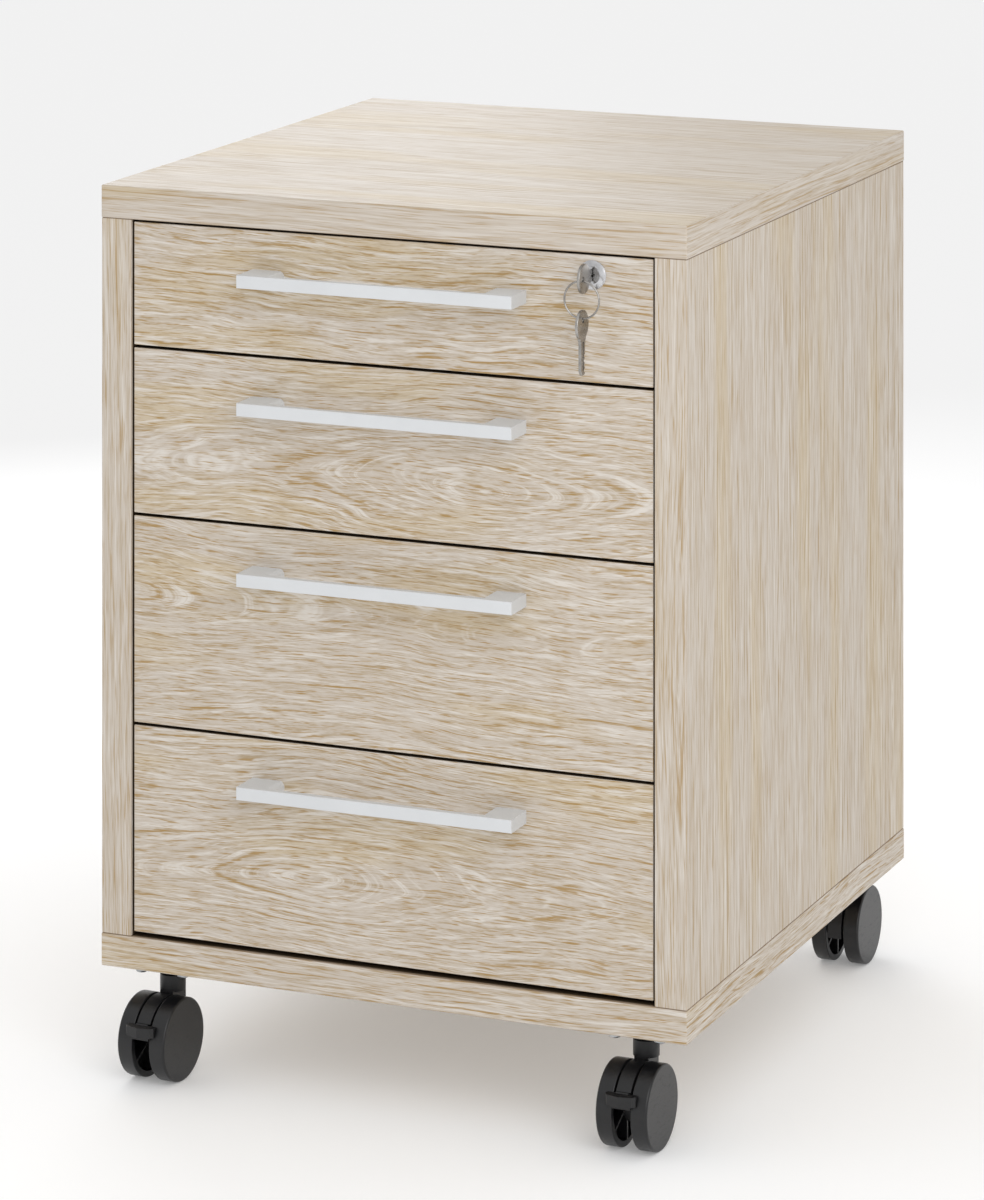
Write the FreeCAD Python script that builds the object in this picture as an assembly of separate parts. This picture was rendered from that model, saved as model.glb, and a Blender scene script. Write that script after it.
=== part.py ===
"""Rolling pedestal cabinet with four inset drawers, a central lock and four twin-wheel casters.

Millimetres. +X is right as seen from the front, -Y is the front, +Z is up. The origin is on the
floor under the middle of the whole object. Every node is one sub-part; a node of several solids
is a set of identical pieces, or the boards of one drawer box.
"""
import FreeCAD, Part
import math
import os

V = FreeCAD.Vector

# ---------------------------------------------------------------- carcass
WIDTH = 420.0            # top and bottom panel, X
DEPTH = 442.0            # top and bottom panel, Y
BOARD = 22.0             # top, bottom and side boards
SIDE_HEIGHT = 480.0      # side panels between the bottom and the top panel
SIDE_INSET = 0.3         # side panels sit this far inside the edges of the top and bottom panel
EDGE_ROUND = 1.0         # rounding of the outer edges of the panels
SIDE_EDGE_ROUND = 0.7    # rounding of the edges of the side panels
BACK_BOARD = 16.0
BACK_INSET = 1.0         # back panel behind the rear edges of the side panels
CASTER_HEIGHT = 74.0     # floor to the underside of the bottom panel

# ---------------------------------------------------------------- fittings that hold the carcass
FITTING_FRONT = 52.0     # front row of cams, from the front edge of a side panel
FITTING_REAR = 372.0     # rear row
DOWEL_OFFSET = 32.0      # dowel beside each cam
CAM_RADIUS = 7.5
CAM_DEPTH = 12.5
CAM_DISTANCE = 34.0      # cam centre from the end of the side panel
CAM_BOLT_RADIUS = 3.0
CAM_BOLT_BORE = 4.0
CAM_BOLT_IN_PANEL = 11.0
CAM_BOLT_PAST_CENTRE = 2.0
DOWEL_RADIUS = 4.0
DOWEL_LENGTH = 30.0
DOWEL_IN_PANEL = 12.0
BACK_DOWEL_HEIGHTS = (150.0, 330.0)   # above the bottom of the side panels

# ---------------------------------------------------------------- drawers, from the top one down
FRONT_BOARD = 18.0
FRONT_RECESS = 1.8       # drawer fronts behind the front edge of the top panel
FRONT_GAP_SIDE = 1.5
FRONT_GAP_TOP = 1.6
FRONT_GAP = 2.0          # between two fronts
FRONT_HEIGHTS = (82.2, 110.4, 138.3, 138.3)
FRONT_EDGE_ROUND = 0.6
BOX_HEIGHTS = (42.0, 75.0, 100.0, 100.0)
BOX_LIFT = 10.0          # underside of the box above the lower edge of its front
BOX_LENGTH = 400.0
BOX_BOARD = 12.0
BOX_GROOVE = 5.0         # depth of the groove that holds the drawer bottom
BOX_BOTTOM = 3.0
BOX_BOTTOM_LIFT = 9.0
RUNNER_SPACE = 12.5      # between the drawer box and the side panel

# ---------------------------------------------------------------- roller runners
SHEET = 1.0
CHANNEL_HEIGHT = 21.0
CHANNEL_START = 45.0     # front end of the cabinet channel behind the front edge of the carcass
CHANNEL_END = 421.0
CHANNEL_FLANGE = 9.7
CARRIER_FLANGE = 8.0     # drawer flange that rides on the front roller
CARRIER_LEDGE = 11.0     # drawer flange under the drawer side
RIDE_HEIGHT = 17.0       # underside of the riding flange above the underside of the box
ROLLER_RADIUS = 8.0
ROLLER_BORE = 2.45
ROLLER_GROOVE_WIDTH = 1.2
ROLLER_GROOVE_DEPTH = 0.5
ROLLER_LENGTH = 7.8
ROLLER_GAP = 0.3         # between a roller and the flange that it rolls on
PIN_RADIUS = 2.4
PIN_HEAD_RADIUS = 3.6
PIN_HEAD = 0.8
ROLLER_FROM_END = 12.0   # roller axis from the end of its runner
RUNNER_SCREW_RADIUS = 1.75
RUNNER_SCREW_HEAD = 3.4
RUNNER_SCREW_SINK = 1.7
RUNNER_SCREW_LENGTH = 10.0
RUNNER_SCREWS = (40.0, 190.0, 350.0)  # from the front end of a runner
CATCH_FROM_FRONT = 33.0  # catch on the right-hand drawer runner, behind the front edge
CATCH_THICK = 2.0
CATCH_WIDTH = 5.5
CATCH_HEIGHT = 6.5

# ---------------------------------------------------------------- handles
HANDLE_LENGTH = 196.4
HANDLE_HEIGHT = 8.5
HANDLE_REACH = 25.3
HANDLE_BAR = 4.8
HANDLE_FOOT = 20.5
HANDLE_FOOT_BULGE = 2.8
HANDLE_BELOW_TOP = 30.0  # bar axis below the upper edge of each front
HANDLE_HOLES = 160.0
HANDLE_ROUND = 0.4
HANDLE_SCREW_RADIUS = 2.0
HANDLE_SCREW_IN_FOOT = 10.0
SCREW_HEAD_RADIUS = 4.1
SCREW_HEAD_HEIGHT = 2.6
SCREW_HEAD_ROUND = 1.4
CROSS_LENGTH = 4.6
CROSS_WIDTH = 0.9
CROSS_DEPTH = 1.3

# ---------------------------------------------------------------- lock, keys and locking bar
LOCK_X = 144.5
LOCK_BELOW_TOP = 12.6    # lock axis below the upper edge of the top drawer front
ROSETTE_RADIUS = 9.5
ROSETTE_THICK = 2.6
ROSETTE_RIM = 0.8
HOUSING_RADIUS = 8.0
HOUSING_PAST_BOARD = 3.2
NUT_RADIUS = 11.0
NUT_THICK = 2.6
PLUG_RADIUS = 5.6
PLUG_CLEARANCE = 0.05
CRANK_RADIUS = 10.5
CRANK_THICK = 2.0
CRANK_GAP = 0.4
CRANK_THROW = 8.0
CRANK_PIN_RADIUS = 2.0
CRANK_PIN_LENGTH = 7.6
KEYWAY_SLACK = 0.3
KEY_THICK = 2.0
KEY_BLADE_WIDTH = 6.4
KEY_BLADE_LENGTH = 19.0
KEY_BOW_RADIUS = 9.7
KEY_BOW_CENTRE = 13.3    # bow centre in front of the lock face
KEY_HOLE_OFFSET = 3.0    # hole from the bow centre, away from the blade
KEY_HOLE_RADIUS = 1.9
KEY_SHOULDER = 4.6
KEY_ROUND = 0.5
BITTING_DEPTHS = (1.4, 2.2, 0.9, 1.8)
BITTING_PITCH = 3.2
BITTING_START = 5.2
RING_RADIUS = 12.0       # centre line
RING_WIRE = 0.65
RING_SLACK = 1.05        # wire centre below the hole centre
BAR_TRAVEL = 8.0
BAR_THICK = 2.0
BAR_WIDTH = 12.0
BAR_FROM_FRONT = 24.0
BAR_GAP = 0.3
BAR_FOOT = 9.0           # lower end of the bar above the bottom panel
ARM_FROM_FRONT = 28.0
ARM_THICK = 2.0
ARM_HALF_HEIGHT = 8.0
ARM_PAST_LOCK = 14.5
YOKE_HALF_HEIGHT = 4.0
YOKE_LEFT = 11.0
YOKE_RIGHT = 3.0
LUG_FROM_FRONT = 26.0
LUG_DEPTH = 5.0
LUG_HEIGHT = 6.0
LUG_REACH = 6.9
LUG_CLEAR = 2.0          # between a lug and the top of its catch when unlocked
GUIDE_HEIGHT = 12.0
GUIDE_WALL = 1.7
GUIDE_HEIGHTS = (70.0, 250.0, 370.0)  # above the bottom panel

# ---------------------------------------------------------------- casters
CASTER_SIDE = 39.1       # swivel axis from the side edge of the bottom panel
CASTER_END = 29.4        # swivel axis from the front or rear edge
WHEEL_RADIUS = 27.5
WHEEL_INNER = 6.5        # inner face from the middle plane of the caster
WHEEL_OUTER = 17.8
WHEEL_ROUND = 1.5
WHEEL_INNER_ROUND = 0.7
WHEEL_HUB = 8.0
WHEEL_RIM = 23.5
WHEEL_HOLLOW = 6.5
WHEEL_RIBS = 6
WHEEL_RIB_THICK = 1.6
AXLE_RADIUS = 2.5
AXLE_CLEARANCE = 0.05
AXLE_HALF = 15.0
AXLE_END_GAP = 0.4
TRAIL = 16.2             # swivel axis to wheel axle
HOOD_RADIUS = 27.2
HOOD_HALF = 5.0
HOOD_BOSS = 8.0
HOOD_NECK_SIDE = -9.5    # degrees, lower end of the hood on the swivel side
HOOD_END_PLAIN = 14.0    # degrees, lower end of the hood on the trailing side
HOOD_END_BRAKED = 33.0
COLUMN_FOOT = 40.0
NECK_RADIUS = 8.7
NECK_FOOT = 54.8
NECK_TOP = 66.0
NECK_ROUND = 0.8
NECK_CUP_RADIUS = 6.4
NECK_CUP_DEPTH = 4.3
KINGPIN_RADIUS = 4.0
KINGPIN_CLEARANCE = 0.05
KINGPIN_FOOT = 46.0
KINGPIN_END_GAP = 0.5
KINGPIN_BOSS = 6.0
KINGPIN_BOSS_FOOT = 62.0
PLATE_SIDE = 42.0
PLATE_THICK = 2.5
PLATE_CORNER = 5.0
PLATE_SCREWS = 15.5      # screw holes from the swivel axis, in X and Y
PLATE_SCREW_RADIUS = 2.0
PLATE_SCREW_IN_BOARD = 13.0
PEDAL_HALF = 10.5
PEDAL_TOP = 42.0
PEDAL_FOOT = 35.5
PEDAL_TIP = 48.6         # from the swivel axis
PEDAL_SHOULDER = 46.6
PEDAL_SHOULDER_HALF = 8.5
PEDAL_SIDE = 44.3
PEDAL_STEP_HALF = 7.2
PEDAL_STEP_FOOT = 33.4
PEDAL_STEP_TIP = 45.6
PEDAL_WHEEL_GAP = 0.8
PEDAL_ARM_HALF = 4.4
PEDAL_ARM_LOW = 15.0     # degrees above the axle, trailing side
PEDAL_ARM_HIGH = 31.5
PEDAL_HOOK_LOW = -70.0
PEDAL_HOOK_WALL = 2.6
PEDAL_BOSS_GAP = 0.3

# ---------------------------------------------------------------- worked out from the sizes above
# The spare key hangs furthest forward, the rear casters' wheels reach furthest back.
FRONT_REACH = ROSETTE_THICK - FRONT_RECESS + KEY_BOW_CENTRE + KEY_HOLE_OFFSET + KEY_BOW_RADIUS
REAR_REACH = TRAIL + WHEEL_RADIUS - CASTER_END
CARCASS_Y = (FRONT_REACH - REAR_REACH) / 2
Y_FRONT = CARCASS_Y - DEPTH / 2
Y_REAR = CARCASS_Y + DEPTH / 2
Z_BOTTOM = CASTER_HEIGHT
Z_SIDE = Z_BOTTOM + BOARD
Z_SIDE_TOP = Z_SIDE + SIDE_HEIGHT
Z_TOP = Z_SIDE_TOP + BOARD
X_SIDE = WIDTH / 2 - SIDE_INSET        # outer face of the side panel
X_INNER = X_SIDE - BOARD               # inner face of the side panel
Y_DRAWER = Y_FRONT + FRONT_RECESS      # face of the drawer fronts
Y_BOX = Y_DRAWER + FRONT_BOARD         # rear face of the drawer fronts
X_BOX = X_INNER - RUNNER_SPACE         # outer face of the drawer box
Y_BACK = Y_REAR - SIDE_INSET - BACK_INSET
Y_LOCK = Y_DRAWER - ROSETTE_THICK      # face of the lock
Z_LOCK = Z_SIDE_TOP - FRONT_GAP_TOP - LOCK_BELOW_TOP
DRAWERS = range(len(FRONT_HEIGHTS))
BIG = 200.0                            # larger than any caster part, for trimming solids


# ---------------------------------------------------------------- plain shapes
def block(x0, x1, y0, y1, z0, z1):
    return Part.makeBox(x1 - x0, y1 - y0, z1 - z0, V(x0, y0, z0))


def rod(radius, start, end):
    span = end.sub(start)
    return Part.makeCylinder(radius, span.Length, start, span)


def rounded(shape, radius, edges=None):
    return shape.makeFillet(radius, shape.Edges if edges is None else edges)


def mirrored(shape):
    return shape.mirror(V(0, 0, 0), V(1, 0, 0))


def both_sides(shape):
    return [shape, mirrored(shape)]


def prism_x(points, half):
    """Prism of a (y, z) outline, from x = -half to x = half."""
    corners = [V(-half, y, z) for y, z in points]
    wire = Part.makePolygon(corners + corners[:1])
    return Part.Face(wire).extrude(V(2 * half, 0, 0))


def prism_z(points, z0, z1):
    """Prism of an (x, y) outline, from z0 to z1."""
    corners = [V(x, y, z0) for x, y in points]
    wire = Part.makePolygon(corners + corners[:1])
    return Part.Face(wire).extrude(V(0, 0, z1 - z0))


def circles(shape, radius):
    """Edges that are full circles of the given radius."""
    found = []
    for edge in shape.Edges:
        if isinstance(edge.Curve, Part.Circle) and abs(edge.Curve.Radius - radius) < 1e-4:
            found.append(edge)
    return found


def pan_screw(seat, direction, shank_radius, shank_length):
    """Screw whose head stands on seat; direction points from the head along the shank."""
    head = rod(SCREW_HEAD_RADIUS, V(0, 0, 0), V(0, 0, -SCREW_HEAD_HEIGHT))
    rim = [e for e in circles(head, SCREW_HEAD_RADIUS) if e.Curve.Center.z < -SCREW_HEAD_HEIGHT / 2]
    head = head.makeFillet(SCREW_HEAD_ROUND, rim)
    for dx, dy in ((CROSS_LENGTH, CROSS_WIDTH), (CROSS_WIDTH, CROSS_LENGTH)):
        floor = -SCREW_HEAD_HEIGHT + CROSS_DEPTH
        head = head.cut(block(-dx / 2, dx / 2, -dy / 2, dy / 2, -SCREW_HEAD_HEIGHT - 1, floor))
    screw = head.fuse(rod(shank_radius, V(0, 0, 0), V(0, 0, shank_length))).removeSplitter()
    screw.Placement = FreeCAD.Placement(seat, FreeCAD.Rotation(V(0, 0, 1), direction))
    return screw


def flush_screw(seat, direction):
    """Countersunk runner screw; seat is on the face that the head is flush with."""
    head = Part.makeCone(RUNNER_SCREW_HEAD, RUNNER_SCREW_RADIUS, RUNNER_SCREW_SINK, seat, direction)
    tip = seat + V(direction) * RUNNER_SCREW_LENGTH
    return head.fuse(rod(RUNNER_SCREW_RADIUS, seat, tip)).removeSplitter()


# ---------------------------------------------------------------- carcass fittings
def fitting_rows():
    y0 = Y_FRONT + SIDE_INSET
    return [y0 + FITTING_FRONT, y0 + FITTING_REAR]


def panel_joints():
    """(z of the joint, +1 up or -1 down into the outer panel) for the top and the bottom."""
    return [(Z_SIDE_TOP, 1), (Z_SIDE, -1)]


def cam_centres():
    places = []
    for y in fitting_rows():
        for z, up in panel_joints():
            places.append((y, z - up * CAM_DISTANCE))
    return places


def cam_bolts_right():
    x = (X_INNER + X_SIDE) / 2
    bolts = []
    for y in fitting_rows():
        for z, up in panel_joints():
            start = V(x, y, z + up * CAM_BOLT_IN_PANEL)
            end = V(x, y, z - up * (CAM_DISTANCE + CAM_BOLT_PAST_CENTRE))
            bolts.append(rod(CAM_BOLT_RADIUS, start, end))
    return bolts


def cam_bores_right():
    x = (X_INNER + X_SIDE) / 2
    bores = []
    for y in fitting_rows():
        for z, up in panel_joints():
            start = V(x, y, z)
            end = V(x, y, z - up * (CAM_DISTANCE + CAM_BOLT_PAST_CENTRE + 1))
            bores.append(rod(CAM_BOLT_BORE, start, end))
    return bores


def cams_right():
    cams = []
    for y, z in cam_centres():
        cams.append(rod(CAM_RADIUS, V(X_INNER, y, z), V(X_INNER + CAM_DEPTH, y, z)))
    return cams


def dowels_right():
    x = (X_INNER + X_SIDE) / 2
    dowels = []
    for y in fitting_rows():
        for z, up in panel_joints():
            start = V(x, y + DOWEL_OFFSET, z + up * DOWEL_IN_PANEL)
            end = V(x, y + DOWEL_OFFSET, z + up * (DOWEL_IN_PANEL - DOWEL_LENGTH))
            dowels.append(rod(DOWEL_RADIUS, start, end))
    for height in BACK_DOWEL_HEIGHTS:
        y = Y_BACK - BACK_BOARD / 2
        start = V(X_INNER + DOWEL_IN_PANEL, y, Z_SIDE + height)
        end = V(X_INNER + DOWEL_IN_PANEL - DOWEL_LENGTH, y, Z_SIDE + height)
        dowels.append(rod(DOWEL_RADIUS, start, end))
    return dowels


def cam_slot(shape):
    """Cross slot in the face of each right-hand cam."""
    for y, z in cam_centres():
        for dy, dz in ((CROSS_LENGTH, CROSS_WIDTH), (CROSS_WIDTH, CROSS_LENGTH)):
            cutter = block(X_INNER - 1, X_INNER + CROSS_DEPTH, y - dy, y + dy, z - dz, z + dz)
            shape = shape.cut(cutter)
    return shape


# ---------------------------------------------------------------- carcass panels
def horizontal_panel(z0):
    y0, y1 = Y_FRONT, Y_REAR
    panel = rounded(block(-WIDTH / 2, WIDTH / 2, y0, y1, z0, z0 + BOARD), EDGE_ROUND)
    holes = []
    for shape in cam_bolts_right() + dowels_right():
        holes += both_sides(shape)
    return panel.cut(holes)


def bottom_panel():
    holes = [screw for caster in CASTERS for screw in plate_screws(caster)]
    return horizontal_panel(Z_BOTTOM).cut(holes)


def side_panel_right():
    y0 = Y_FRONT + SIDE_INSET
    y1 = Y_REAR - SIDE_INSET
    panel = rounded(block(X_INNER, X_SIDE, y0, y1, Z_SIDE, Z_SIDE_TOP), SIDE_EDGE_ROUND)
    return panel.cut(cams_right() + cam_bores_right() + dowels_right() + channel_screws_right())


def back_panel():
    y0 = Y_BACK - BACK_BOARD
    panel = block(-X_INNER, X_INNER, y0, Y_BACK, Z_SIDE, Z_SIDE_TOP)
    holes = []
    for shape in dowels_right():
        holes += both_sides(shape)
    return panel.cut(holes)


# ---------------------------------------------------------------- drawers
def front_span(index):
    """Lower and upper edge of a drawer front."""
    top = Z_SIDE_TOP - FRONT_GAP_TOP - sum(FRONT_HEIGHTS[:index]) - FRONT_GAP * index
    return top - FRONT_HEIGHTS[index], top


def box_floor(index):
    return front_span(index)[0] + BOX_LIFT


def handle_axis(index):
    return front_span(index)[1] - HANDLE_BELOW_TOP


def handle_screws(index):
    z = handle_axis(index)
    screws = []
    for x in (-HANDLE_HOLES / 2, HANDLE_HOLES / 2):
        length = FRONT_BOARD + HANDLE_SCREW_IN_FOOT
        screws.append(pan_screw(V(x, Y_BOX, z), V(0, -1, 0), HANDLE_SCREW_RADIUS, length))
    return screws


def drawer_front(index):
    z0, z1 = front_span(index)
    x = X_INNER - FRONT_GAP_SIDE
    board = rounded(block(-x, x, Y_DRAWER, Y_BOX, z0, z1), FRONT_EDGE_ROUND)
    board = board.cut(handle_screws(index))
    if index == 0:
        board = board.cut(rod(HOUSING_RADIUS, V(LOCK_X, Y_LOCK, Z_LOCK), V(LOCK_X, Y_BOX + 1, Z_LOCK)))
    return board


def handle_foot(side):
    """Foot at one end; its inner side bulges between a flat top and a flat underside."""
    outer = side * HANDLE_LENGTH / 2
    inner = outer - side * HANDLE_FOOT
    half = HANDLE_HEIGHT / 2
    bulge = Part.Arc(V(inner, 0, half), V(inner - side * HANDLE_FOOT_BULGE, 0, 0), V(inner, 0, -half))
    straight = Part.makePolygon([V(inner, 0, -half), V(outer, 0, -half), V(outer, 0, half), V(inner, 0, half)])
    face = Part.Face(Part.Wire([bulge.toShape()] + straight.Edges))
    return face.extrude(V(0, -HANDLE_REACH, 0))


def handle(index):
    half = HANDLE_HEIGHT / 2
    end = HANDLE_LENGTH / 2
    bar = block(-end, end, -HANDLE_REACH, -HANDLE_REACH + HANDLE_BAR, -half, half)
    shape = bar.fuse([handle_foot(1), handle_foot(-1)]).removeSplitter()
    front_edges = [e for e in shape.Edges if e.BoundBox.YMax < -HANDLE_REACH + 1e-3]
    shape = shape.makeFillet(HANDLE_ROUND, front_edges)
    shape.translate(V(0, Y_DRAWER, handle_axis(index)))
    return shape.cut(handle_screws(index))


def drawer_side_right(index):
    z = box_floor(index)
    board = block(X_BOX - BOX_BOARD, X_BOX, Y_BOX, Y_BOX + BOX_LENGTH, z, z + BOX_HEIGHTS[index])
    return board.cut([drawer_bottom(index)] + carrier_screws_right(index))


def drawer_bottom(index):
    x = X_BOX - BOX_BOARD + BOX_GROOVE
    z = box_floor(index) + BOX_BOTTOM_LIFT
    return block(-x, x, Y_BOX, Y_BOX + BOX_LENGTH, z, z + BOX_BOTTOM)


def drawer_back(index):
    x = X_BOX - BOX_BOARD
    z = box_floor(index)
    y = Y_BOX + BOX_LENGTH
    return block(-x, x, y - BOX_BOARD, y, z + BOX_BOTTOM_LIFT + BOX_BOTTOM, z + BOX_HEIGHTS[index])


def drawer_box(index):
    return both_sides(drawer_side_right(index)) + [drawer_back(index), drawer_bottom(index)]


# ---------------------------------------------------------------- runners
def channel_right(index):
    """Cabinet channel with the pin of its front roller."""
    z = box_floor(index) - SHEET
    y0 = Y_FRONT + CHANNEL_START
    y1 = Y_FRONT + CHANNEL_END
    web = block(X_INNER - SHEET, X_INNER, y0, y1, z, z + CHANNEL_HEIGHT)
    floor = block(X_INNER - CHANNEL_FLANGE, X_INNER, y0, y1, z, z + SHEET)
    roof = block(X_INNER - CHANNEL_FLANGE, X_INNER, y0, y1, z + CHANNEL_HEIGHT - SHEET, z + CHANNEL_HEIGHT)
    y, z = cabinet_roller_axis(index)
    inner = cabinet_roller_x()[0] - ROLLER_GAP
    pin = rod(PIN_RADIUS, V(X_INNER, y, z), V(inner - PIN_HEAD, y, z))
    head = rod(PIN_HEAD_RADIUS, V(inner, y, z), V(inner - PIN_HEAD, y, z))
    shape = web.fuse([floor, roof, pin, head]).removeSplitter()
    return shape.cut([s for s in channel_screws_right() if abs(s.BoundBox.Center.z - box_floor(index)) < BOX_BOARD])


def channel_screws_right():
    screws = []
    for index in DRAWERS:
        for offset in RUNNER_SCREWS:
            z = box_floor(index) - SHEET + CHANNEL_HEIGHT / 2
            seat = V(X_INNER - SHEET, Y_FRONT + CHANNEL_START + offset, z)
            screws.append(flush_screw(seat, V(1, 0, 0)))
    return screws


def carrier_right(index, catch):
    """Drawer runner with the pin of its rear roller, and the lock catch on the right."""
    floor = box_floor(index)
    y0 = Y_BOX + ROLLER_GAP
    y1 = Y_BOX + BOX_LENGTH
    ride = floor + RIDE_HEIGHT
    web = block(X_BOX, X_BOX + SHEET, y0, y1, floor - SHEET, ride + SHEET)
    ledge = block(X_BOX + SHEET - CARRIER_LEDGE, X_BOX + SHEET, y0, y1, floor - SHEET, floor)
    flange = block(X_BOX, X_BOX + CARRIER_FLANGE, y0, y1, ride, ride + SHEET)
    y, z = drawer_roller_axis(index)
    outer = drawer_roller_x()[1] + ROLLER_GAP
    pin = rod(PIN_RADIUS, V(X_BOX, y, z), V(outer + PIN_HEAD, y, z))
    head = rod(PIN_HEAD_RADIUS, V(outer, y, z), V(outer + PIN_HEAD, y, z))
    pieces = [ledge, flange, pin, head]
    if catch:
        y2 = Y_FRONT + CATCH_FROM_FRONT
        x1 = X_BOX + CARRIER_FLANGE
        top = ride + SHEET + CATCH_HEIGHT
        pieces.append(block(x1 - CATCH_WIDTH, x1, y2, y2 + CATCH_THICK, ride, top))
    return web.fuse(pieces).removeSplitter().cut(carrier_screws_right(index))


def carrier_screws_right(index):
    screws = []
    for offset in RUNNER_SCREWS:
        z = box_floor(index) + BOX_BOTTOM_LIFT / 2
        seat = V(X_BOX + SHEET, Y_BOX + offset, z)
        screws.append(flush_screw(seat, V(-1, 0, 0)))
    return screws


def cabinet_roller_axis(index):
    z = box_floor(index) + RIDE_HEIGHT - ROLLER_GAP - ROLLER_RADIUS
    return Y_FRONT + CHANNEL_START + ROLLER_FROM_END, z


def drawer_roller_axis(index):
    return Y_BOX + BOX_LENGTH - ROLLER_FROM_END, box_floor(index) + ROLLER_GAP + ROLLER_RADIUS


def cabinet_roller_x():
    outer = X_INNER - SHEET - ROLLER_GAP
    return outer - ROLLER_LENGTH, outer


def drawer_roller_x():
    inner = X_BOX + SHEET + ROLLER_GAP
    return inner, inner + ROLLER_LENGTH


def roller(x_span, axis):
    x0, x1 = x_span
    y, z = axis
    shape = rod(ROLLER_RADIUS, V(x0, y, z), V(x1, y, z))
    shape = shape.makeFillet(ROLLER_GROOVE_DEPTH, circles(shape, ROLLER_RADIUS))
    middle = (x0 + x1) / 2
    start = V(middle - ROLLER_GROOVE_WIDTH / 2, y, z)
    end = V(middle + ROLLER_GROOVE_WIDTH / 2, y, z)
    groove = rod(ROLLER_RADIUS + 1, start, end).cut(rod(ROLLER_RADIUS - ROLLER_GROOVE_DEPTH, start, end))
    bore = rod(ROLLER_BORE, V(x0 - 1, y, z), V(x1 + 1, y, z))
    return shape.cut([groove, bore])


# ---------------------------------------------------------------- lock and keys
def lock_point(forward, x=0.0, z=0.0):
    """Point a distance in front of the lock face, with x and z from the lock axis."""
    return V(LOCK_X + x, Y_LOCK - forward, Z_LOCK + z)


def lock_housing():
    """Barrel with a domed rosette in front of the board, and the ring nut behind it."""
    base = Part.makeCylinder(ROSETTE_RADIUS, ROSETTE_RIM, lock_point(-ROSETTE_THICK), V(0, -1, 0))
    dome_height = ROSETTE_THICK - ROSETTE_RIM
    dome_radius = (ROSETTE_RADIUS ** 2 + dome_height ** 2) / (2 * dome_height)
    ball = Part.makeSphere(dome_radius, lock_point(-dome_radius))
    ball = ball.common(Part.makeCylinder(ROSETTE_RADIUS, dome_height, lock_point(-dome_height), V(0, -1, 0)))
    end = -(ROSETTE_THICK + FRONT_BOARD + HOUSING_PAST_BOARD)
    barrel = rod(HOUSING_RADIUS, lock_point(-ROSETTE_THICK), lock_point(end))
    shape = base.fuse([ball, barrel]).removeSplitter()
    bore = rod(PLUG_RADIUS + PLUG_CLEARANCE, lock_point(1), lock_point(end - 1))
    return [shape.cut(bore), lock_nut()]


def lock_nut():
    start = lock_point(-(ROSETTE_THICK + FRONT_BOARD))
    end = lock_point(-(ROSETTE_THICK + FRONT_BOARD + NUT_THICK))
    return rod(NUT_RADIUS, start, end).cut(rod(HOUSING_RADIUS, start, end))


def lock_plug():
    """Plug with its keyway and the crank that moves the locking bar."""
    rear = -(ROSETTE_THICK + FRONT_BOARD + HOUSING_PAST_BOARD + CRANK_GAP)
    plug = rod(PLUG_RADIUS, lock_point(-0.3), lock_point(rear))
    crank = rod(CRANK_RADIUS, lock_point(rear), lock_point(rear - CRANK_THICK))
    far = rear - CRANK_THICK - CRANK_PIN_LENGTH
    pin = rod(CRANK_PIN_RADIUS, lock_point(rear, -CRANK_THROW), lock_point(far, -CRANK_THROW))
    x = KEY_THICK / 2 + KEYWAY_SLACK
    z = KEY_BLADE_WIDTH / 2 + KEYWAY_SLACK
    depth = KEY_BLADE_LENGTH + KEYWAY_SLACK
    keyway = block(LOCK_X - x, LOCK_X + x, Y_LOCK - 1, Y_LOCK + depth, Z_LOCK - z, Z_LOCK + z)
    return plug.fuse([crank, pin]).removeSplitter().cut(keyway)


def key_solid():
    """Key in its own frame: plate in the YZ plane, bow centre at the origin, blade towards +Y."""
    half = KEY_THICK / 2
    bow = rod(KEY_BOW_RADIUS, V(-half, 0, 0), V(half, 0, 0))
    shoulder = block(-half, half, 0, KEY_BOW_CENTRE, -KEY_SHOULDER, KEY_SHOULDER)
    neck = block(-half, half, 0, KEY_BOW_CENTRE - 1, -KEY_SHOULDER + 1, KEY_SHOULDER - 1)
    shoulder = shoulder.common(rod(KEY_BOW_RADIUS + 1, V(-half, 0, 0), V(half, 0, 0)))
    bow = bow.makeFillet(KEY_ROUND, circles(bow, KEY_BOW_RADIUS))
    start = KEY_BOW_CENTRE
    end = start + KEY_BLADE_LENGTH
    low = KEY_BLADE_WIDTH / 2
    outline = [(0, -low), (end - low, -low), (end, -low / 3), (end, low / 3), (end - 1, low)]
    for number, depth in reversed(list(enumerate(BITTING_DEPTHS))):
        cut_end = start + BITTING_START + (number + 1) * BITTING_PITCH
        outline.append((cut_end - 0.4, low))
        outline.append((cut_end - 1.2, low - depth))
        outline.append((cut_end - 2.2, low - depth))
    outline += [(start + BITTING_START, low), (0, low)]
    blade = prism_x(outline, half)
    hole = rod(KEY_HOLE_RADIUS, V(-half - 1, -KEY_HOLE_OFFSET, 0), V(half + 1, -KEY_HOLE_OFFSET, 0))
    groove = block(half - 0.5, half + 1, KEY_BOW_RADIUS + 1, end - low, -0.8, 0.8)
    return bow.fuse([shoulder, neck, blade]).removeSplitter().cut([hole, groove])


def key():
    shape = key_solid()
    shape.translate(lock_point(KEY_BOW_CENTRE))
    return shape


def ring_top():
    """Where the wire of the key ring passes through the key in the lock."""
    return lock_point(KEY_BOW_CENTRE + KEY_HOLE_OFFSET, z=-RING_SLACK)


def ring_bottom():
    return ring_top() + V(0, 0, -2 * RING_RADIUS)


def key_ring():
    centre = ring_top() + V(0, 0, -RING_RADIUS)
    return Part.makeTorus(RING_RADIUS, RING_WIRE, centre, V(0, 1, 0))


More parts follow.
